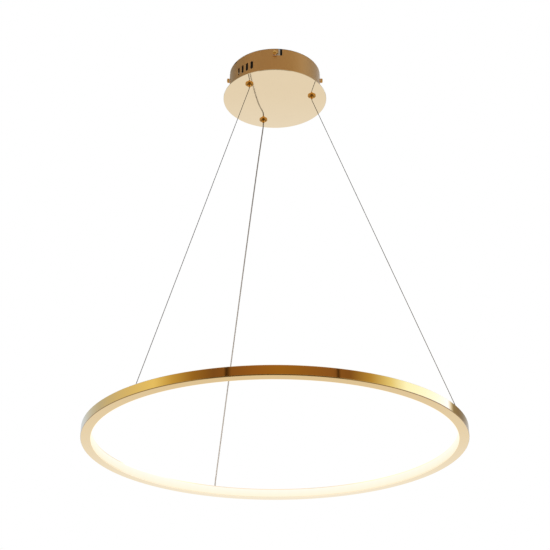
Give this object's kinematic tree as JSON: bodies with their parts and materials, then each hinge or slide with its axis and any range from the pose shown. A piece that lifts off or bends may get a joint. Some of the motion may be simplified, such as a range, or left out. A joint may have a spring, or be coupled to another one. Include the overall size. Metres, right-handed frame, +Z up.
{
  "type": "ring pendant lamp",
  "caption": "Large gold ring lamp, lit on its inner face through an opal cover, hung level from a round ceiling canopy by thin steel ropes and a power cable.",
  "frame": {"origin": "centre of the ceiling bracket's top face, on the ceiling and on the lamp's own axis", "axes": "+Z up into the ceiling, -Y towards the side that the picture was taken from, +X to that view's right"},
  "size_m": [0.8, 0.7999, 0.9285],
  "materials": {
    "gold_mirror": "polished pale gold plating, mirror bright",
    "gold_satin": "satin gold plating",
    "gold_ring": "bright gold finish on a bent aluminium profile",
    "gold_dark": "polished darker gold plating",
    "gold_screw": "polished gold plating, knurled",
    "washer_clear": "smooth nylon",
    "rope_steel": "stranded steel rope",
    "cable_clear": "clear jacket over two stranded cores",
    "zinc": "bright zinc plating",
    "nickel": "nickel plating",
    "brass_plain": "bare brass",
    "ferrule_alu": "crimped aluminium",
    "spring_steel": "bright hardened steel",
    "plastic_white": "moulded white plastic",
    "board_green": "coated circuit board",
    "lead_brown": "soft insulation",
    "lead_green": "soft insulation",
    "strip_white": "white flexible circuit",
    "chip_yellow": "phosphor under clear resin",
    "opal": "satin opal, lit from behind"
  },
  "bodies": {
    "ceiling_mount": {"ceiling_bracket": "zinc", "earth_screw": "brass_plain", "earth_washer": "brass_plain"},
    "canopy": {"canopy_drum": "gold_satin", "canopy_disc": "gold_mirror", "stud_nuts": "zinc", "gripper_body_a": "gold_dark", "gripper_body_b": "gold_dark", "cable_nipple": "gold_dark", "barrel_nuts": "nickel", "lock_washers": "zinc", "gripper_spring_a": "spring_steel", "gripper_spring_b": "spring_steel", "wire_tail_a": "rope_steel", "wire_tail_b": "rope_steel", "suspension_wire_a": "rope_steel", "suspension_wire_b": "rope_steel", "power_cable": "cable_clear", "cable_tail": "cable_clear", "cable_stop": "plastic_white", "cable_stop_screws": "zinc", "driver_case": "plastic_white", "driver_lid": "plastic_white", "driver_board": "board_green", "driver_screws": "zinc", "terminal_block": "plastic_white", "terminal_screws": "brass_plain", "mains_leads": "lead_brown", "earth_lead": "lead_green"},
    "plunger_a": {"gripper_plunger_a": "gold_dark", "gripper_balls_a": "spring_steel"},
    "plunger_b": {"gripper_plunger_b": "gold_dark", "gripper_balls_b": "spring_steel"},
    "ring": {"ring_profile": "gold_ring", "ring_splice": "zinc", "splice_screws": "zinc", "diffuser": "opal", "led_strip": "strip_white", "led_chips": "chip_yellow", "wire_anchor_a": "gold_dark", "wire_anchor_b": "gold_dark", "anchor_nuts": "nickel", "wire_ferrules": "ferrule_alu", "cable_bush": "gold_dark", "bush_nut": "nickel", "ring_lead": "cable_clear", "strip_connector": "plastic_white"},
    "washer_near": {"screw_washer_near": "washer_clear"},
    "thumbscrew_near": {"thumbscrew_near": "gold_screw"},
    "washer_right": {"screw_washer_right": "washer_clear"},
    "thumbscrew_right": {"thumbscrew_right": "gold_screw"},
    "washer_far": {"screw_washer_far": "washer_clear"},
    "thumbscrew_far": {"thumbscrew_far": "gold_screw"},
    "washer_left": {"screw_washer_left": "washer_clear"},
    "thumbscrew_left": {"thumbscrew_left": "gold_screw"}
  },
  "joints": [
    {"name": "canopy_twist", "type": "hinge", "parent": "ceiling_mount", "child": "canopy", "pos_m": [0, 0, 0], "axis": [0, 0, 1], "range_deg": [-6.8, 0]},
    {"name": "height_adjust", "type": "slide", "parent": "canopy", "child": "ring", "axis": [0, 0, 1], "range_m": [0, 0.5], "deforming": ["suspension_wire_a", "suspension_wire_b", "power_cable"]},
    {"name": "plunger_a_press", "type": "slide", "parent": "canopy", "child": "plunger_a", "axis": [0, 0, 1], "range_m": [0, 0.0022], "stiffness_N_per_m": 600, "springref_m": -0.003, "deforming": ["gripper_spring_a"]},
    {"name": "plunger_b_press", "type": "slide", "parent": "canopy", "child": "plunger_b", "axis": [0, 0, 1], "range_m": [0, 0.0022], "stiffness_N_per_m": 600, "springref_m": -0.003, "deforming": ["gripper_spring_b"]},
    {"name": "thumbscrew_near_out", "type": "slide", "parent": "ceiling_mount", "child": "washer_near", "axis": [0, -1, 0], "range_m": [0, 0.0028]},
    {"name": "thumbscrew_near_turn", "type": "hinge", "parent": "washer_near", "child": "thumbscrew_near", "pos_m": [0, -0.1089, -0.0145], "axis": [0, -1, 0], "range_deg": [0, 1440.5]},
    {"name": "thumbscrew_right_out", "type": "slide", "parent": "ceiling_mount", "child": "washer_right", "axis": [1, 0, 0], "range_m": [0, 0.0028]},
    {"name": "thumbscrew_right_turn", "type": "hinge", "parent": "washer_right", "child": "thumbscrew_right", "pos_m": [0.1089, 0, -0.0145], "axis": [1, 0, 0], "range_deg": [0, 1440.5]},
    {"name": "thumbscrew_far_out", "type": "slide", "parent": "ceiling_mount", "child": "washer_far", "axis": [0, 1, 0], "range_m": [0, 0.0028]},
    {"name": "thumbscrew_far_turn", "type": "hinge", "parent": "washer_far", "child": "thumbscrew_far", "pos_m": [0, 0.1089, -0.0145], "axis": [0, 1, 0], "range_deg": [0, 1440.5]},
    {"name": "thumbscrew_left_out", "type": "slide", "parent": "ceiling_mount", "child": "washer_left", "axis": [-1, 0, 0], "range_m": [0, 0.0028]},
    {"name": "thumbscrew_left_turn", "type": "hinge", "parent": "washer_left", "child": "thumbscrew_left", "pos_m": [-0.1089, 0, -0.0145], "axis": [-1, 0, 0], "range_deg": [0, 1440.5]}
  ],
  "couplings": [
    {"joint": "thumbscrew_near_turn", "follows": "thumbscrew_near_out", "rad_per_m": 8976},
    {"joint": "thumbscrew_right_turn", "follows": "thumbscrew_right_out", "rad_per_m": 8976},
    {"joint": "thumbscrew_far_turn", "follows": "thumbscrew_far_out", "rad_per_m": 8976},
    {"joint": "thumbscrew_left_turn", "follows": "thumbscrew_left_out", "rad_per_m": 8976}
  ]
}
